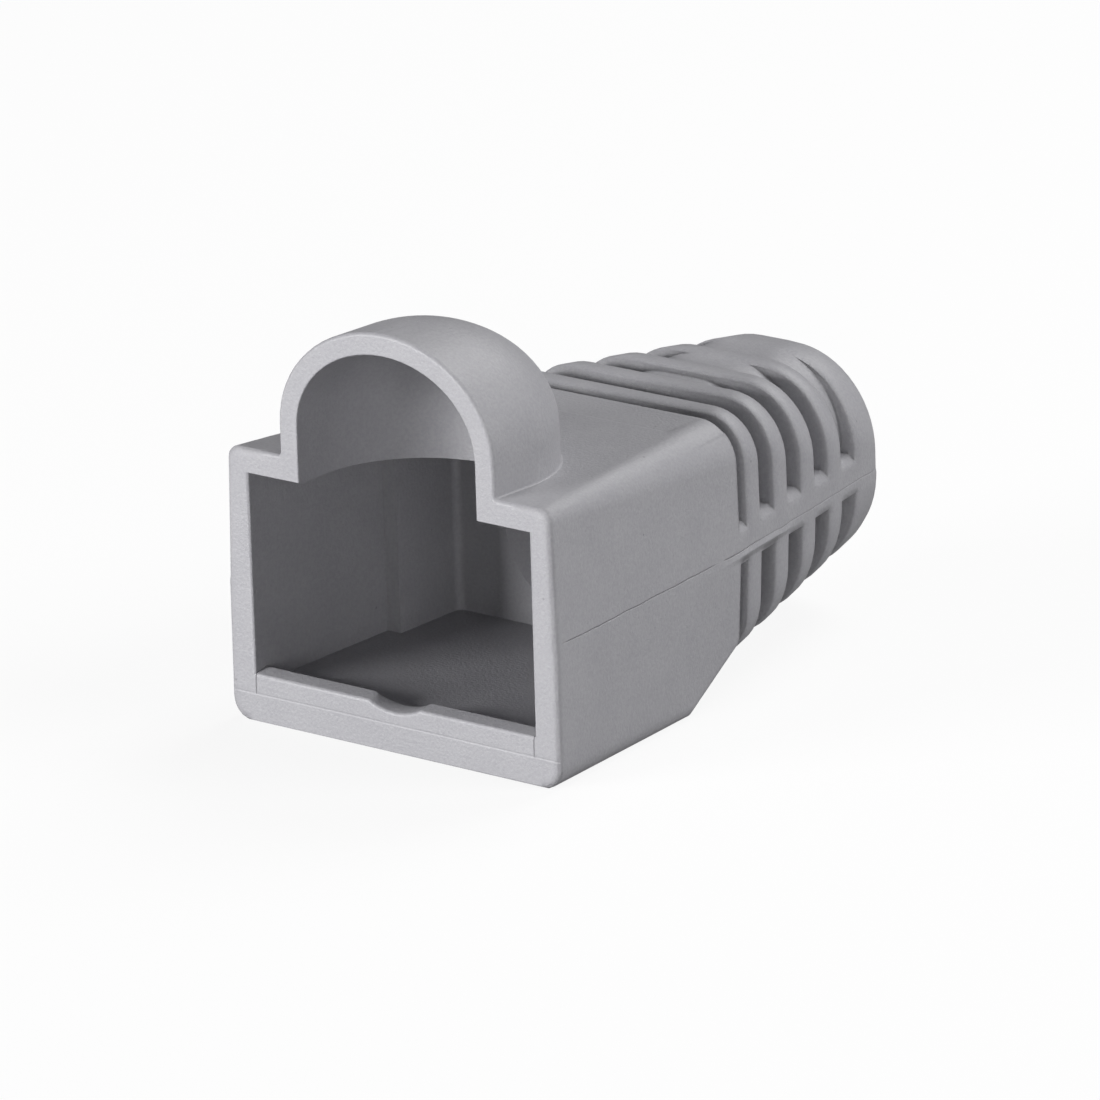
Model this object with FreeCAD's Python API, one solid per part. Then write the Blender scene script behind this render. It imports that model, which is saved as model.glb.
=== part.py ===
import FreeCAD
import Part
import math
import os

# Strain relief boot for a modular network plug, moulded in one piece of soft PVC.
# Millimetres. X is across, Y runs from the plug mouth to the cable end, Z is up.
# The mouth lies in the plane y = 0 and the flat underside in the plane z = 0.

# Plug and cable that the boot is made for
plug_width = 11.7
plug_clearance = 0.1
cable_diameter = 5.2
cable_clearance = 0.15
axis_height = 5.1

# Hood: the box that slides over the back of the plug
hood_length = 11.38
hood_height = 9.6
side_wall = 1.02
parting_height = 4.95
parting_ledge = 0.03
ledge_height = 0.15
mouth_top_draft = 0.13
mouth_base_draft = -0.05
mouth_top_corner = 0.45
mouth_base_corner = 0.8
flat_base_length = 8.35
rear_base_corner = 0.55

# Hood at its back end, where the grip begins
back_narrowing = 1.08
back_top_draft = 0.12
back_base_draft = 0.15
back_height = 9.48
back_base_height = 1.5
back_top_corner = 1.45

# Plug cavity
cavity_floor = 1.3
top_wall = 0.88
plug_seat_depth = 7.0
seat_step = 0.57
throat_depth = 10.2
throat_corner = 0.3
bore_flare = 0.55

# Sill: the low lip across the bottom of the mouth that snaps behind the plug
sill_front_height = 1.68
sill_crest_height = 1.85
sill_crest_depth = 0.6
sill_thickness = 0.9
notch_half_width = 1.05
notch_depth = 0.24

# Latch hump: the half-round canopy over the plug's release tab
hump_half_width = 4.56
hump_spring_height = 10.72
hump_rise = 3.78
hump_back_fall = 0.06
hump_straight_length = 1.95
hump_side_wall = 0.8
hump_crown_wall = 0.77
hump_back_wall = 1.25

# Grip: the ribbed tail round the cable
overall_length = 21.9
grip_base_height = 0.78
grip_base_corner = 1.76
end_half_width = 4.08
end_height = 9.1
end_base_height = 1.45
end_base_draft = 0.14
end_top_draft = 0.0
end_top_corner = 3.5
end_base_corner = 3.3
end_rounding = 0.6

# Ribs and the flex slots between them, which stop at a rounded core and at a spine on each side
slot_count = 5
first_slot_width = 0.6
slot_width = 0.85
collar_length = 1.88
rib_rounding = 0.3
core_side_wall = 0.95
core_front_top_wall = 0.9
core_back_top_wall = 1.28
core_crest_wall = 1.33
core_crest_place = 17.6
core_base_wall = 0.95
core_corner = 2.9
upper_slot_foot = 5.9
lower_slot_head = 4.58
foot_slope = 0.3
spine_inset = 0.02

# How far joined solids run into each other, how far cutters reach past what they cut,
# and how much is trimmed off the underside to level it
overlap = 0.3
reach = 1.0
trim = 0.05

# Sizes that follow from those above
cavity_half_width = plug_width / 2 + plug_clearance
half_width = cavity_half_width + side_wall
cavity_ceiling = hood_height - top_wall
throat_half_width = cavity_half_width - seat_step
bore_radius = cable_diameter / 2 + cable_clearance
ledge_foot = parting_height - ledge_height
first_slot_back = hood_length + first_slot_width
last_slot_back = overall_length - collar_length
slot_pitch = (last_slot_back - first_slot_back) / (slot_count - 1)


def mix(a, b, t):
    return a + (b - a) * t


def outline(corners, y):
    """Closed wire in the plane y. Corners are (x, z, radius), with a tangent arc where radius is not zero."""
    count = len(corners)
    starts = []
    ends = []
    arcs = []
    for i in range(count):
        x, z, radius = corners[i]
        before = corners[i - 1]
        after = corners[(i + 1) % count]
        here = FreeCAD.Vector(x, y, z)
        to_before = FreeCAD.Vector(before[0] - x, 0, before[1] - z).normalize()
        to_after = FreeCAD.Vector(after[0] - x, 0, after[1] - z).normalize()
        if radius == 0:
            starts.append(here)
            ends.append(here)
            arcs.append(None)
            continue
        half_turn = to_before.getAngle(to_after) / 2
        back_off = radius / math.tan(half_turn)
        bisector = (to_before + to_after).normalize()
        centre = here + bisector * (radius / math.sin(half_turn))
        start = here + to_before * back_off
        end = here + to_after * back_off
        starts.append(start)
        ends.append(end)
        arcs.append(Part.Arc(start, centre - bisector * radius, end).toShape())
    edges = []
    for i in range(count):
        if arcs[i] is not None:
            edges.append(arcs[i])
        edges.append(Part.LineSegment(ends[i], starts[(i + 1) % count]).toShape())
    return Part.Wire(edges)


def section(y, width, base_draft, top_draft, base, top, base_corner, top_corner):
    """Outer section, whose sides lean in from the parting plane. The lower half stands a ledge proud."""
    return outline(
        [
            (-width + base_draft, base, base_corner),
            (width - base_draft, base, base_corner),
            (width + parting_ledge, ledge_foot, 0),
            (width, parting_height, 0),
            (width - top_draft, top, top_corner),
            (-width + top_draft, top, top_corner),
            (-width, parting_height, 0),
            (-width - parting_ledge, ledge_foot, 0),
        ],
        y,
    )


def hood_section(y):
    t = y / hood_length
    flat = min(1.0, y / flat_base_length)
    rise = max(0.0, (y - flat_base_length) / (hood_length - flat_base_length))
    return section(
        y,
        half_width - back_narrowing * t,
        mix(mouth_base_draft, back_base_draft, t),
        mix(mouth_top_draft, back_top_draft, t),
        back_base_height * rise - trim,
        mix(hood_height, back_height, t),
        mix(mouth_base_corner, rear_base_corner, flat),
        mix(mouth_top_corner, back_top_corner, t),
    )


def along_grip(y):
    """How far y lies along the grip: 0 at its front end, 1 where the rounding of the collar begins."""
    return min(1.0, (y - hood_length) / (overall_length - end_rounding - hood_length))


def grip_width(y):
    return mix(half_width - back_narrowing, end_half_width, along_grip(y))


def grip_section(y, inset):
    t = along_grip(y)
    return section(
        y,
        grip_width(y) - inset,
        mix(back_base_draft, end_base_draft, t),
        mix(back_top_draft, end_top_draft, t),
        mix(grip_base_height, end_base_height, t) + inset,
        mix(back_height, end_height, t) - inset,
        mix(grip_base_corner, end_base_corner, t) - inset,
        mix(back_top_corner, end_top_corner, t) - inset,
    )


def hood_body():
    """The hood as a solid box, with its underside trimmed level."""
    wires = [hood_section(0), hood_section(flat_base_length), hood_section(hood_length)]
    below = block(half_width + reach, -reach, hood_length + reach, -reach, 0)
    return Part.makeLoft(wires, True, True).cut(below)


def rib(front, back, back_rounding):
    """One rib from front to back, with both of its outer edges rounded."""
    steps = 2
    wires = []
    for i in range(steps + 1):
        turn = math.pi / 2 * i / steps
        y = front + rib_rounding * (1 - math.cos(turn))
        wires.append(grip_section(y, rib_rounding * (1 - math.sin(turn))))
    for i in range(steps + 1):
        turn = math.pi / 2 * i / steps
        y = back - back_rounding * (1 - math.sin(turn))
        wires.append(grip_section(y, back_rounding * (1 - math.cos(turn))))
    return Part.makeLoft(wires, True, True)


def ribs():
    """The ribs between the slots, the last of which is the collar round the cable."""
    pieces = []
    for i in range(slot_count):
        front = first_slot_back + slot_pitch * i
        if i < slot_count - 1:
            pieces.append(rib(front, front + slot_pitch - slot_width, rib_rounding))
        else:
            pieces.append(rib(front, overall_length, end_rounding))
    return pieces


def spine_section(y):
    width = grip_width(y) - spine_inset
    proud = width + parting_ledge
    return outline(
        [
            (-proud, lower_slot_head, 0),
            (proud, lower_slot_head, 0),
            (proud, ledge_foot, 0),
            (width, parting_height, 0),
            (width, upper_slot_foot - foot_slope, 0),
            (width - foot_slope, upper_slot_foot, 0),
            (-width + foot_slope, upper_slot_foot, 0),
            (-width, upper_slot_foot - foot_slope, 0),
            (-width, parting_height, 0),
            (-proud, ledge_foot, 0),
        ],
        y,
    )


def spine():
    """Slab that joins the ribs along both sides."""
    wires = [spine_section(hood_length), spine_section(last_slot_back + overlap)]
    return Part.makeLoft(wires, True, True)


def core_section(y, top_wall):
    side = bore_radius + core_side_wall
    low = axis_height - bore_radius - core_base_wall
    high = axis_height + bore_radius + top_wall
    return outline(
        [
            (-side, low, core_corner),
            (side, low, core_corner),
            (side, high, core_corner),
            (-side, high, core_corner),
        ],
        y,
    )


def core():
    """Tube wall round the cable, which the slots don't cut. Its top rises until it closes the last slots."""
    wires = [
        core_section(hood_length - overlap, core_front_top_wall),
        core_section(core_crest_place, core_crest_wall),
        core_section(last_slot_back + overlap, core_back_top_wall),
    ]
    return Part.makeLoft(wires, True, True)


def block(width, y0, y1, z0, z1):
    """Box that reaches as far as width on both sides of the middle plane."""
    return Part.makeBox(2 * width, y1 - y0, z1 - z0, FreeCAD.Vector(-width, y0, z0))


def rod(radius, y0, y1):
    start = FreeCAD.Vector(0, y0, axis_height)
    return Part.makeCylinder(radius, y1 - y0, start, FreeCAD.Vector(0, 1, 0))


def half_arch(width, spring, rise, base, y):
    """Right half of a half-round arch on a straight leg, as a closed outline in the plane y."""
    centre = FreeCAD.Vector(0, y, spring)
    centre_foot = FreeCAD.Vector(0, y, base)
    foot = FreeCAD.Vector(width, y, base)
    shoulder = FreeCAD.Vector(width, y, spring)
    crown = FreeCAD.Vector(0, y, spring + rise)
    major, minor = (shoulder, crown) if width >= rise else (crown, shoulder)
    arc = Part.ArcOfEllipse(Part.Ellipse(major, minor, centre), 0, math.pi / 2).toShape()
    lines = [
        Part.makeLine(centre_foot, foot),
        Part.makeLine(foot, shoulder),
        Part.makeLine(crown, centre_foot),
    ]
    return Part.Wire(Part.__sortEdges__(lines + [arc]))


def canopy(width, spring, rise, fall, straight, base, front):
    """Arched tunnel whose crown falls a little towards the back, closed there by a quarter of a dome."""
    back_rise = rise - fall
    front_rise = back_rise + fall / straight * (straight - front)
    front_outline = half_arch(width, spring, front_rise, base, front)
    back_outline = half_arch(width, spring, back_rise, base, straight)
    right_tunnel = Part.makeLoft([front_outline, back_outline], True, True)
    left_tunnel = right_tunnel.mirror(FreeCAD.Vector(0, 0, 0), FreeCAD.Vector(1, 0, 0))
    pivot = FreeCAD.Vector(0, straight, 0)
    dome = Part.Face(back_outline).revolve(pivot, FreeCAD.Vector(0, 0, 1), 180)
    return dome.fuse([right_tunnel, left_tunnel]).removeSplitter()


def is_upright(edge):
    ends = [vertex.Point for vertex in edge.Vertexes]
    return math.hypot(ends[0].x - ends[1].x, ends[0].y - ends[1].y) < 1e-6


def cavity():
    """Space for the plug, then a narrower throat up to the back wall."""
    seat = block(cavity_half_width, -reach, plug_seat_depth, cavity_floor, cavity_ceiling)
    throat = block(throat_half_width, plug_seat_depth - reach, throat_depth, cavity_floor, cavity_ceiling)
    upright = [e for e in throat.Edges if is_upright(e)]
    back_corners = [e for e in upright if e.CenterOfMass.y > plug_seat_depth]
    return seat.fuse(throat.makeFillet(throat_corner, back_corners))


def bore():
    """Round hole for the cable, with a flared mouth at the throat's back wall."""
    start = FreeCAD.Vector(0, throat_depth, axis_height)
    ahead = FreeCAD.Vector(0, 1, 0)
    flare = Part.makeCone(bore_radius + bore_flare, bore_radius, bore_flare, start, ahead)
    return rod(bore_radius, throat_depth - reach, overall_length + reach).fuse(flare)


def sill():
    profile = [
        FreeCAD.Vector(0, 0, cavity_floor - overlap),
        FreeCAD.Vector(0, 0, sill_front_height),
        FreeCAD.Vector(0, sill_crest_depth, sill_crest_height),
        FreeCAD.Vector(0, sill_thickness, cavity_floor - overlap),
    ]
    side = Part.Face(Part.makePolygon(profile + [profile[0]]))
    bar = side.extrude(FreeCAD.Vector(2 * (cavity_half_width + overlap), 0, 0))
    bar.translate(FreeCAD.Vector(-cavity_half_width - overlap, 0, 0))
    radius = (notch_half_width ** 2 + notch_depth ** 2) / (2 * notch_depth)
    slope = (sill_crest_height - sill_front_height) / sill_crest_depth / 2
    centre = FreeCAD.Vector(0, -reach, sill_front_height - notch_depth + radius - slope * reach)
    scoop = Part.makeCylinder(radius, sill_thickness + 2 * reach, centre, FreeCAD.Vector(0, 1, slope))
    return bar.cut(scoop)


def boot():
    hump = canopy(
        hump_half_width,
        hump_spring_height,
        hump_rise,
        hump_back_fall,
        hump_straight_length,
        cavity_ceiling + overlap,
        0,
    )
    pocket = canopy(
        hump_half_width - hump_side_wall,
        hump_spring_height,
        hump_rise - hump_crown_wall,
        hump_back_fall,
        hump_straight_length + hump_side_wall - hump_back_wall,
        cavity_ceiling - reach,
        -reach,
    )
    solid = hood_body().fuse([core(), spine(), hump] + ribs())
    solid = solid.cut([cavity(), pocket, bore()])
    return solid.fuse(sill()).removeSplitter()


os.makedirs("parts", exist_ok=True)
shape = boot()
print("solids", len(shape.Solids), "valid", shape.isValid(), "volume in mm3", round(shape.Volume, 2))
shape.exportStep("parts/boot.step")
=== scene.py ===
import math

import bmesh
import bpy
from mathutils import Matrix, Vector


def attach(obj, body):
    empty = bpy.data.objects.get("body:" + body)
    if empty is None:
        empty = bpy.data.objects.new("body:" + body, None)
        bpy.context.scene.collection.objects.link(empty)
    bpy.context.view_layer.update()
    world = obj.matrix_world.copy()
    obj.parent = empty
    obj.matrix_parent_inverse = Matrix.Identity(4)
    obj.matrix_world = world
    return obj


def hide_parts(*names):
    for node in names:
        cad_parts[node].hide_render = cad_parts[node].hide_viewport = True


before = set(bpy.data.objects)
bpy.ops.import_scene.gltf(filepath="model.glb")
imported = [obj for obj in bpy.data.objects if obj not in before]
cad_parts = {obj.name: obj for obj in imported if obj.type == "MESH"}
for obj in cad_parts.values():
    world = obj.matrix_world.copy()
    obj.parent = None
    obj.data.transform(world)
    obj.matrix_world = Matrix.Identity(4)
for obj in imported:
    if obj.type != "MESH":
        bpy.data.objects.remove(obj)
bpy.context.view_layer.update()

MM = 0.001

# The camera, as the photograph was taken, in millimetres and degrees.
# The slide is how far the target lies right of the picture's middle, and above it.
VIEW_AZIMUTH = 38.68
VIEW_ELEVATION = 17.65
VIEW_ROLL = -1.64
VIEW_DISTANCE = 330.0
VIEW_TARGET = Vector((0.0, 6.0, 6.0))
VIEW_SLIDE = Vector((-1.594, 0.4916))
PIXELS_PER_MM = 29.88
PHOTO_SIDE = 1100

# Softboxes by name: azimuth and elevation in degrees, and strength. Their distance and size are in metres
SOFTBOXES = {
    "key": (-28, 5, 2.12),
    "right": (110, 35, 0.68),
    "behind": (180, 50, 0.56),
    "front right": (45, 5, 0.35),
}
SOFTBOX_DISTANCE = 0.4
SOFTBOX_SIZE = 0.2
SKY_STRENGTH = 0.04

# The floor, which the camera sees almost white and the boot sees grey. Its size is in metres
FLOOR_SIZE = 4.0
FLOOR_PAPER = 0.8
FLOOR_GLOW_SHARE = 0.88
FLOOR_SEEN_BY_BOOT = 0.35
WHITE = (1.0, 1.0, 1.0, 1.0)

# Places on the boot that tell its edges apart, in millimetres
MOUTH_HALF_WIDTH = 5.95
MOUTH_LOW = 1.0
POCKET_HALF_WIDTH = 3.76
POCKET_SPRING = 10.72
POCKET_TOP = 13.73
CEILING = 8.72
SILL_TOP = 1.9
SILL_BACK = 0.95
HUMP_BACK = 6.6
HOOD_TOP = 9.6
HOOD_BACK = 11.38
HOOD_BACK_STRAIGHT = 5.3
NEAR = 0.15

# How the CAD's triangles are joined, in millimetres and degrees
SAME_POINT = 0.0005
SAME_PLANE = 0.5
SLIVER = 0.008
QUAD_FOLD = 12
QUAD_SKEW = 60

# How far the mould left each kind of edge soft, in millimetres
SOFTNESS = {
    "rim": 0.14,
    "mouth": 0.14,
    "pocket": 0.05,
    "sill": 0.11,
    "hump foot": 0.08,
    "hood back": 0.1,
}
WIDEST_SOFTNESS = max(SOFTNESS.values())
EDGE_STEPS = 3

# From which fold on an edge is softened, and from which it is shaded as an edge, in degrees
SOFTENED_FOLD = 30
SHADED_FOLD = 40

# Rounds that are in the shading alone, on the grip and round the hood's outside, in millimetres
OUTER_SOFTNESS = 0.42
GRIP_FRONT = 11.28
HOOD_SIDE = 6.2
HOOD_SHOULDER = 5.3
HOOD_SHOULDER_FOOT = 9.2

# How far the mould's lines wander and in waves of what size, in millimetres, and the front line's share of it
WANDER = 0.22
WANDER_SIZE = 2.2
FRONT_WANDER_SHARE = 0.2

# The seam where the mould parts, on the hood's sides and round the tail, in millimetres
SEAM_HEIGHT = 4.97
SEAM_WIDTH = 0.03
SEAM_DEPTH = 0.04
SEAM_SIDE = 6.05
SEAM_FRONT = 0.5
SEAM_TAIL_FRONT = 10.4
SEAM_FADE_START = 12.5
SEAM_FADE = 0.6

# The flash under the seam, over the side spines, in millimetres
FLASH_HEIGHT = 4.79
FLASH_WIDTH = 0.16
FLASH_RISE = 0.09
FLASH_FRONT = 11.1
FLASH_BACK = 14.8
FLASH_SIDE = 4.5

# On the front: a line across below the mouth, the band under it and a split at each end of the sill,
# in millimetres
FRONT_DEPTH = 0.06
FRONT_LINE_HEIGHT = 1.0
FRONT_LINE_WIDTH = 0.02
FRONT_LINE_DEPTH = 0.02
BAND_RISE = 0.01
SPLIT_PLACE = 5.93
SPLIT_TOP = 1.75
SPLIT_BACK = 0.4
SPLIT_WIDTH = 0.02
SPLIT_DEPTH = 0.05

# The faint panel on the hood's top, behind the hump, in millimetres
PANEL_FRONT = 9.35
PANEL_BACK = 11.03
PANEL_HALF_WIDTH = 4.5
PANEL_LOW = 9.5
PANEL_DEPTH = 0.05

# How much painted shade darkens each crease, where 0 is none, and how much of that shade and the specks hides
# the grey wholly
SEAM_SHADE = 0.5
FRONT_LINE_SHADE = 0.3
SPLIT_SHADE = 0.6
HIDING_SHADE_AND_SPECKS = 1.98

# The PVC's grey, and the shares of it in its darker and lighter grains and in the dark of the specks and of
# the painted crease shade
PVC_GREY = (0.302, 0.299, 0.318)
PVC_ROUGHNESS = 0.5
DARKER = 0.92
LIGHTER = 1.08
BLUER = 1.01
LESS_BLUE = 0.99
SHADE_AND_SPECK_SHARE = 0.4

# Sizes of the PVC's grain and blotches and heights of its relief, in millimetres
GRAIN_SIZE = 0.11
GRAIN_RISE = 0.018
WAVE_SIZE = 0.9
WAVE_RISE = 0.012
CLOUD_SIZE = 1.6
CLOUD_SHARE = 0.3
SAND_SIZE = 0.12
SAND_SHARE = 0.7
SPECK_SPACING = 1.4
SPECK_SIZE = 0.1


def only(obj):
    """Leaves obj alone selected and active."""
    bpy.ops.object.select_all(action="DESELECT")
    obj.select_set(True)
    bpy.context.view_layer.objects.active = obj


def merged_copy(node_name, name):
    """A copy of a CAD node as a piece of its own, with its loose triangles joined."""
    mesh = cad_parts[node_name].data.copy()
    mesh.name = name
    piece = bpy.data.objects.new(name, mesh)
    bpy.context.scene.collection.objects.link(piece)
    only(piece)
    bpy.ops.mesh.customdata_custom_splitnormals_clear()
    bpy.ops.object.mode_set(mode="EDIT")
    bpy.ops.mesh.select_all(action="SELECT")
    bpy.ops.mesh.remove_doubles(threshold=SAME_POINT * MM)
    bpy.ops.mesh.dissolve_limited(angle_limit=math.radians(SAME_PLANE))
    bpy.ops.mesh.remove_doubles(threshold=SLIVER * MM)
    bpy.ops.mesh.tris_convert_to_quads(
        face_threshold=math.radians(QUAD_FOLD), shape_threshold=math.radians(QUAD_SKEW)
    )
    bpy.ops.object.mode_set(mode="OBJECT")
    return piece


def edge_kind(middle, hollow):
    """The kind of edge whose middle is at this place, in millimetres, or None where it stays as it is."""
    across = abs(middle.x)
    if hollow:
        if abs(middle.z - HOOD_TOP) < NEAR and middle.y < HUMP_BACK:
            return "hump foot"
        return None
    if middle.y < SILL_BACK and across < MOUTH_HALF_WIDTH - NEAR and MOUTH_LOW < middle.z < SILL_TOP:
        return "sill"
    if abs(middle.y - HOOD_BACK) < NEAR and middle.z > CEILING and across < HOOD_BACK_STRAIGHT:
        return "hood back"
    if middle.y > NEAR:
        return None
    rise = max(0, middle.z - POCKET_SPRING) / (POCKET_TOP + NEAR - POCKET_SPRING)
    in_arch = (across / (POCKET_HALF_WIDTH + NEAR)) ** 2 + rise ** 2 < 1
    if in_arch or abs(middle.z - CEILING) < NEAR:
        return "pocket"
    in_mouth = across < MOUTH_HALF_WIDTH + NEAR and MOUTH_LOW < middle.z < CEILING
    return "mouth" if in_mouth else "rim"


def soft_skin():
    """The boot, with the radius that the mould left on its softened edges."""
    piece = merged_copy("boot", "moulded_boot")
    mesh = bmesh.new()
    mesh.from_mesh(piece.data)
    weight = mesh.edges.layers.float.new("bevel_weight_edge")
    for edge in mesh.edges:
        fold = edge.calc_face_angle_signed(0)
        middle = (edge.verts[0].co + edge.verts[1].co) / 2 / MM
        kind = edge_kind(middle, hollow=fold < 0)
        if kind and abs(fold) > math.radians(SOFTENED_FOLD):
            edge[weight] = SOFTNESS[kind] / WIDEST_SOFTNESS
    mesh.to_mesh(piece.data)
    mesh.free()
    bevel = piece.modifiers.new("soft edges", "BEVEL")
    bevel.width = WIDEST_SOFTNESS * MM
    bevel.segments = EDGE_STEPS
    bevel.limit_method = "WEIGHT"
    bevel.miter_outer = "MITER_ARC"
    bevel.use_clamp_overlap = False
    only(piece)
    bpy.ops.object.modifier_apply(modifier=bevel.name)
    for vertex in piece.data.vertices:
        vertex.co.z = max(vertex.co.z, 0)
    bpy.ops.object.shade_smooth_by_angle(angle=math.radians(SHADED_FOLD))
    normals = piece.modifiers.new("flat faces stay flat", "WEIGHTED_NORMAL")
    normals.keep_sharp = True
    bpy.ops.object.modifier_apply(modifier=normals.name)
    return piece


class Value:
    """A shader socket that Python's operators turn into Math nodes."""

    def __init__(self, shader, source):
        self.shader = shader
        self.source = source

    def _math(self, operation, *others):
        return self.shader.node("ShaderNodeMath", {"operation": operation}, self, *others)

    def __add__(self, other):
        return self._math("ADD", other)

    __radd__ = __add__

    def __mul__(self, other):
        return self._math("MULTIPLY", other)

    __rmul__ = __mul__

    def __sub__(self, other):
        return self._math("SUBTRACT", other)

    def __rsub__(self, other):
        return (self * -1) + other

    def __abs__(self):
        return self._math("ABSOLUTE")

    def larger(self, other):
        return self._math("MAXIMUM", other)

    def above(self, limit, blur):
        """0 below the limit and 1 above it, soft over blur on each side."""
        step = {"interpolation_type": "SMOOTHSTEP"}
        return self.shader.node("ShaderNodeMapRange", step, self, limit - blur, limit + blur, 0.0, 1.0)

    def below(self, limit, blur):
        """1 below the limit and 0 above it, soft over blur on each side."""
        return 1 - self.above(limit, blur)

    def near(self, centre, width, blur):
        """1 within half the width of the centre, fading to 0."""
        return abs(self - centre).below(width / 2, blur)

    def between(self, low, high, blur):
        """1 from low to high, fading to 0 outside."""
        return self.above(low, blur) * self.below(high, blur)


class Shader:
    """The node tree of a material or a world."""

    def __init__(self, owner):
        self.owner = owner
        owner.use_nodes = True
        self.tree = owner.node_tree
        self.tree.nodes.clear()

    def node(self, kind, settings, *inputs, out=0, **named):
        """Adds a node, sets it up, fills its sockets and returns one output."""
        made = self.tree.nodes.new(kind)
        for key, value in settings.items():
            setattr(made, key, value)
        for place, value in enumerate(inputs):
            self.fill(made.inputs[place], value)
        for key, value in named.items():
            self.fill(made.inputs[key.replace("_", " ")], value)
        return Value(self, made.outputs[out]) if len(made.outputs) else None

    def fill(self, socket, value):
        """Links a socket to a value or gives it a number or colour. None leaves it as it is."""
        if isinstance(value, Value):
            self.tree.links.new(value.source, socket)
        elif value is not None:
            socket.default_value = value

    def place(self):
        """Position on the piece, in millimetres."""
        spot = self.node("ShaderNodeTexCoord", {}, out="Object")
        return self.node("ShaderNodeVectorMath", {"operation": "SCALE"}, spot, Scale=1 / MM)

    def parts(self, vector):
        """The three numbers of a vector."""
        split = self.node("ShaderNodeSeparateXYZ", {}, vector).source.node
        return [Value(self, socket) for socket in split.outputs]

    def noise(self, place, size, detail=2.0, roughness=0.5):
        """Soft noise whose lumps are about size millimetres across, from 0 to 1."""
        return self.node(
            "ShaderNodeTexNoise", {}, Vector=place, Scale=1 / size, Detail=detail, Roughness=roughness
        )

    def specks(self, place, spacing, size):
        """Round dots of one size where points that lie spacing apart meet the surface, in millimetres."""
        dots = self.node("ShaderNodeTexVoronoi", {}, Vector=place, Scale=1 / spacing)
        return (dots * spacing).below(size / 2, blur=size / 5)

    def mix(self, kind, factor, first, second):
        """First where the factor is 0 and second where it is 1. The kind is RGBA or VECTOR."""
        sockets_of_other_kinds, out = {"RGBA": (5, 2), "VECTOR": (3, 1)}[kind]
        skipped = [None] * sockets_of_other_kinds
        return self.node("ShaderNodeMix", {"data_type": kind}, factor, *skipped, first, second, out=out)


def shade(colour, amount, blue=1.0):
    """A colour made lighter or darker, and bluer where blue is above 1."""
    return (colour[0] * amount, colour[1] * amount, colour[2] * amount * blue, 1.0)


def mould_traces(shader, place):
    """How far the mould's traces stand out of the surface, in millimetres, and how much painted shade darkens
    their creases.
    """
    x, y, z = shader.parts(place)
    across = abs(x)
    wander = (shader.noise(place, WANDER_SIZE) - 0.5) * WANDER
    height = z + wander
    front = y.below(FRONT_DEPTH, blur=0.03)

    hood_side = across.above(SEAM_SIDE, blur=0.05) * y.above(SEAM_FRONT, blur=0.3)
    outside = hood_side.larger(y.above(SEAM_TAIL_FRONT, blur=0.05))
    fading = 1 - SEAM_FADE * y.above(SEAM_FADE_START, blur=1.5)
    seam = height.near(SEAM_HEIGHT, SEAM_WIDTH, blur=0.03) * outside * fading

    spine = y.between(FLASH_FRONT, FLASH_BACK, blur=0.8) * across.above(FLASH_SIDE, blur=0.1)
    flash = height.near(FLASH_HEIGHT, FLASH_WIDTH, blur=0.12) * spine

    line_height = z + wander * FRONT_WANDER_SHARE
    front_line = line_height.near(FRONT_LINE_HEIGHT, FRONT_LINE_WIDTH, blur=0.05) * front
    band = z.below(FRONT_LINE_HEIGHT, blur=0.03) * front

    split_rows = z.between(FRONT_LINE_HEIGHT, SPLIT_TOP, blur=0.03) * y.below(SPLIT_BACK, blur=0.1)
    split = across.near(SPLIT_PLACE, SPLIT_WIDTH, blur=0.03) * split_rows

    panel_rows = y.between(PANEL_FRONT, PANEL_BACK, blur=0.06) * z.above(PANEL_LOW, blur=0.03)
    panel = across.below(PANEL_HALF_WIDTH, blur=0.15) * panel_rows

    raised = flash * FLASH_RISE + band * BAND_RISE
    sunk = seam * SEAM_DEPTH + front_line * FRONT_LINE_DEPTH + split * SPLIT_DEPTH + panel * PANEL_DEPTH
    # Painted shade: the seam, the front line and the splits are darkened as if shade fell into their creases
    crease_shade = seam * SEAM_SHADE + front_line * FRONT_LINE_SHADE + split * SPLIT_SHADE
    return raised - sunk, crease_shade


def rounded_normal(shader, place):
    """The surface's direction, turned softly over the edges of the grip and of the hood's outside."""
    x, y, z = shader.parts(place)
    across = abs(x)
    bare = shader.node("ShaderNodeNewGeometry", {}, out="Normal")
    rounded = shader.node("ShaderNodeBevel", {"samples": 4}, OUTER_SOFTNESS * MM)
    shoulder = across.above(HOOD_SHOULDER, blur=0.3) * z.above(HOOD_SHOULDER_FOOT, blur=0.1)
    hood = across.above(HOOD_SIDE, blur=0.1).larger(shoulder)
    grip = y.above(GRIP_FRONT, blur=0.15)
    return shader.mix("VECTOR", grip.larger(hood), bare, rounded)


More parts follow.
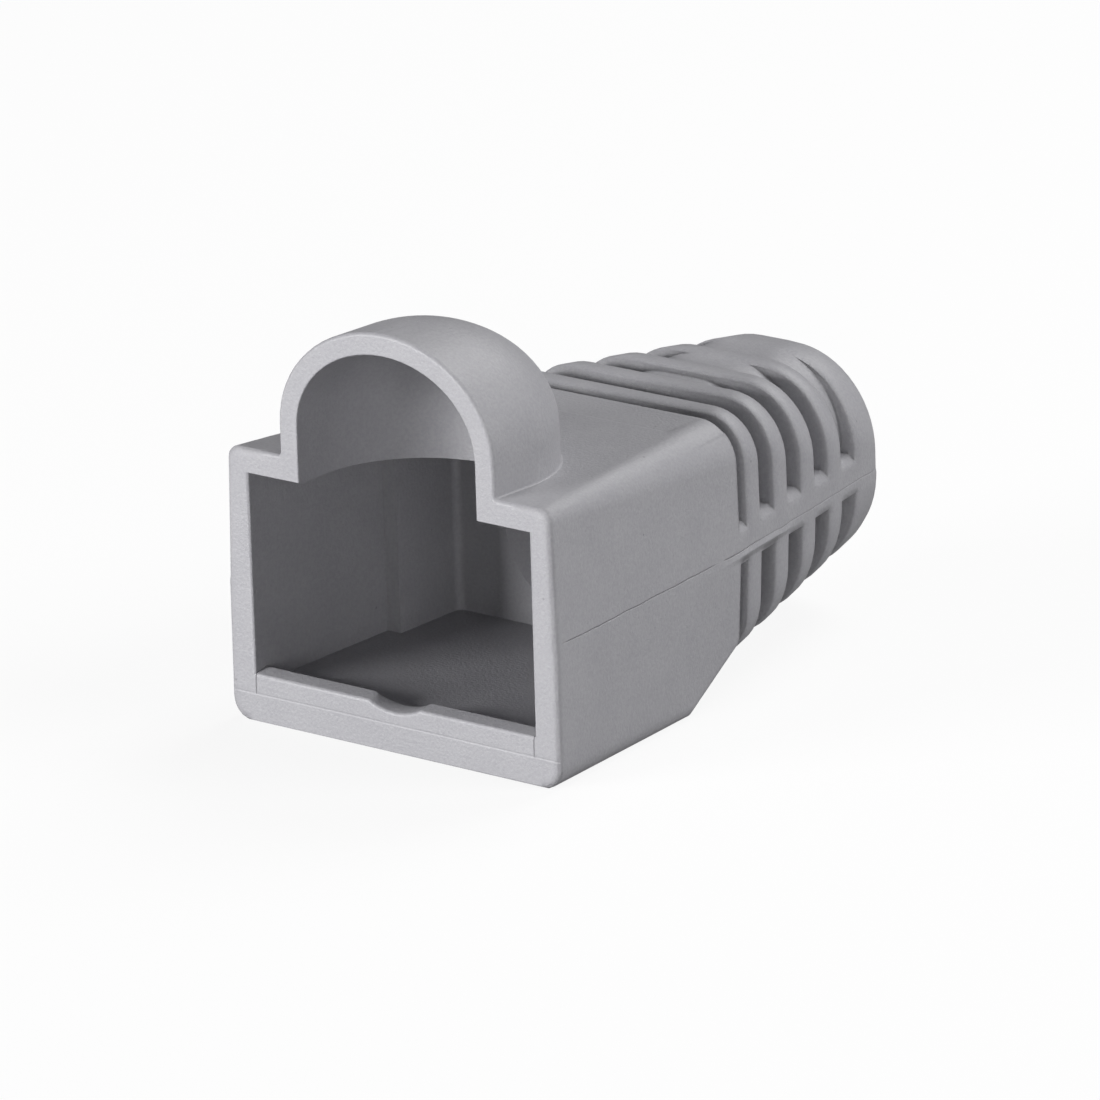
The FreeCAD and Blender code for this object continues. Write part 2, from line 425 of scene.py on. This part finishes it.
def pvc():
    """Matte grey PVC with the fine grain, dark specks and the traces of its mould, and painted shade in the
    mould's creases.
    """
    shader = Shader(bpy.data.materials.new("soft_pvc"))
    place = shader.place()
    relief, crease_shade = mould_traces(shader, place)
    grain = shader.noise(place, GRAIN_SIZE, roughness=0.6)
    waves = shader.noise(place, WAVE_SIZE, detail=1.0)
    height = relief + grain * GRAIN_RISE + waves * WAVE_RISE
    normal = rounded_normal(shader, place)
    bump = shader.node("ShaderNodeBump", {}, Strength=1.0, Distance=MM, Height=height, Normal=normal)
    cloud = shader.noise(place, CLOUD_SIZE, detail=3.0).above(0.5, blur=0.25)
    sand = shader.noise(place, SAND_SIZE, roughness=0.7).above(0.5, blur=0.2)
    dark = shade(PVC_GREY, DARKER, BLUER)
    light = shade(PVC_GREY, LIGHTER, LESS_BLUE)
    grey = shader.mix("RGBA", cloud * CLOUD_SHARE + sand * SAND_SHARE, dark, light)
    specks = shader.specks(place, SPECK_SPACING, SPECK_SIZE)
    # The specks are the PVC's own dark flecks, and the crease shade added to them is painted shade
    free_of_shade_and_specks = (crease_shade + specks).below(HIDING_SHADE_AND_SPECKS / 2, blur=HIDING_SHADE_AND_SPECKS / 2)
    shaded_and_specked = shader.mix("RGBA", free_of_shade_and_specks, shade(PVC_GREY, SHADE_AND_SPECK_SHARE), grey)
    surface = shader.node(
        "ShaderNodeBsdfPrincipled", {}, Base_Color=shaded_and_specked, Roughness=PVC_ROUGHNESS, Normal=bump
    )
    shader.node("ShaderNodeOutputMaterial", {}, surface)
    return shader.owner


def floor():
    """A floor that the camera sees almost white, with the boot's faint shadow, and the boot sees grey."""
    bpy.ops.mesh.primitive_plane_add(size=FLOOR_SIZE, location=(0, 0, 0))
    plane = bpy.context.active_object
    plane.name = "floor"
    shader = Shader(bpy.data.materials.new("floor"))
    seen = shader.node("ShaderNodeLightPath", {}, out="Is Camera Ray")
    grey_paper = shader.node("ShaderNodeBsdfDiffuse", {}, shade(WHITE, FLOOR_SEEN_BY_BOOT))
    paper = shader.node("ShaderNodeBsdfDiffuse", {}, shade(WHITE, FLOOR_PAPER))
    glow = shader.node("ShaderNodeEmission", {}, WHITE, 1.0)
    bright_paper = shader.node("ShaderNodeMixShader", {}, FLOOR_GLOW_SHARE, paper, glow)
    both = shader.node("ShaderNodeMixShader", {}, seen, grey_paper, bright_paper)
    shader.node("ShaderNodeOutputMaterial", {}, both)
    plane.data.materials.append(shader.owner)


def sky():
    """Plain white where the camera sees it, and a dim white light for the boot."""
    shader = Shader(bpy.data.worlds.new("studio"))
    seen = shader.node("ShaderNodeLightPath", {}, out="Is Camera Ray")
    light = shader.node("ShaderNodeBackground", {}, WHITE, SKY_STRENGTH)
    white = shader.node("ShaderNodeBackground", {}, WHITE, 1.0)
    both = shader.node("ShaderNodeMixShader", {}, seen, light, white)
    shader.node("ShaderNodeOutputWorld", {}, both)
    bpy.context.scene.world = shader.owner


def direction(azimuth, elevation):
    """The way from the boot at these degrees. Azimuth 0 is in front of the mouth and 90 is towards +X."""
    a = math.radians(azimuth)
    e = math.radians(elevation)
    return Vector((math.sin(a) * math.cos(e), -math.cos(a) * math.cos(e), math.sin(e)))


def softbox(name, azimuth, elevation, strength):
    """A square lamp that faces the boot. Strength is about how bright it makes a white face turned to it."""
    data = bpy.data.lights.new(name, "AREA")
    data.shape = "SQUARE"
    data.size = SOFTBOX_SIZE
    data.energy = strength * math.pi ** 2 * SOFTBOX_DISTANCE ** 2
    light = bpy.data.objects.new(name, data)
    bpy.context.scene.collection.objects.link(light)
    back = direction(azimuth, elevation)
    light.location = VIEW_TARGET * MM + back * SOFTBOX_DISTANCE
    light.rotation_mode = "QUATERNION"
    light.rotation_quaternion = (-back).to_track_quat("-Z", "Y")


def camera():
    """The camera, placed, turned and rolled as it was for the photograph."""
    back = direction(VIEW_AZIMUTH, VIEW_ELEVATION)
    right = direction(VIEW_AZIMUTH + 90, 0)
    up = right.cross(-back)
    roll = math.radians(VIEW_ROLL)
    turned_right = right * math.cos(roll) + up * math.sin(roll)
    turned_up = up * math.cos(roll) - right * math.sin(roll)
    data = bpy.data.cameras.new("camera")
    data.sensor_width = 36.0
    data.lens = PIXELS_PER_MM * VIEW_DISTANCE * data.sensor_width / PHOTO_SIDE
    data.clip_start = 0.01
    data.clip_end = 20.0
    view = bpy.data.objects.new("camera", data)
    bpy.context.scene.collection.objects.link(view)
    place = VIEW_TARGET + back * VIEW_DISTANCE - turned_right * VIEW_SLIDE.x - turned_up * VIEW_SLIDE.y
    turn = Matrix((turned_right, turned_up, back)).transposed()
    view.matrix_world = Matrix.Translation(place * MM) @ turn.to_4x4()
    bpy.context.scene.camera = view


boot = soft_skin()
boot.data.materials.clear()
boot.data.materials.append(pvc())
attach(boot, "root")
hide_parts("boot")

floor()
sky()
for name, (azimuth, elevation, strength) in SOFTBOXES.items():
    softbox(name, azimuth, elevation, strength)
camera()
bpy.context.scene.view_settings.view_transform = "Standard"
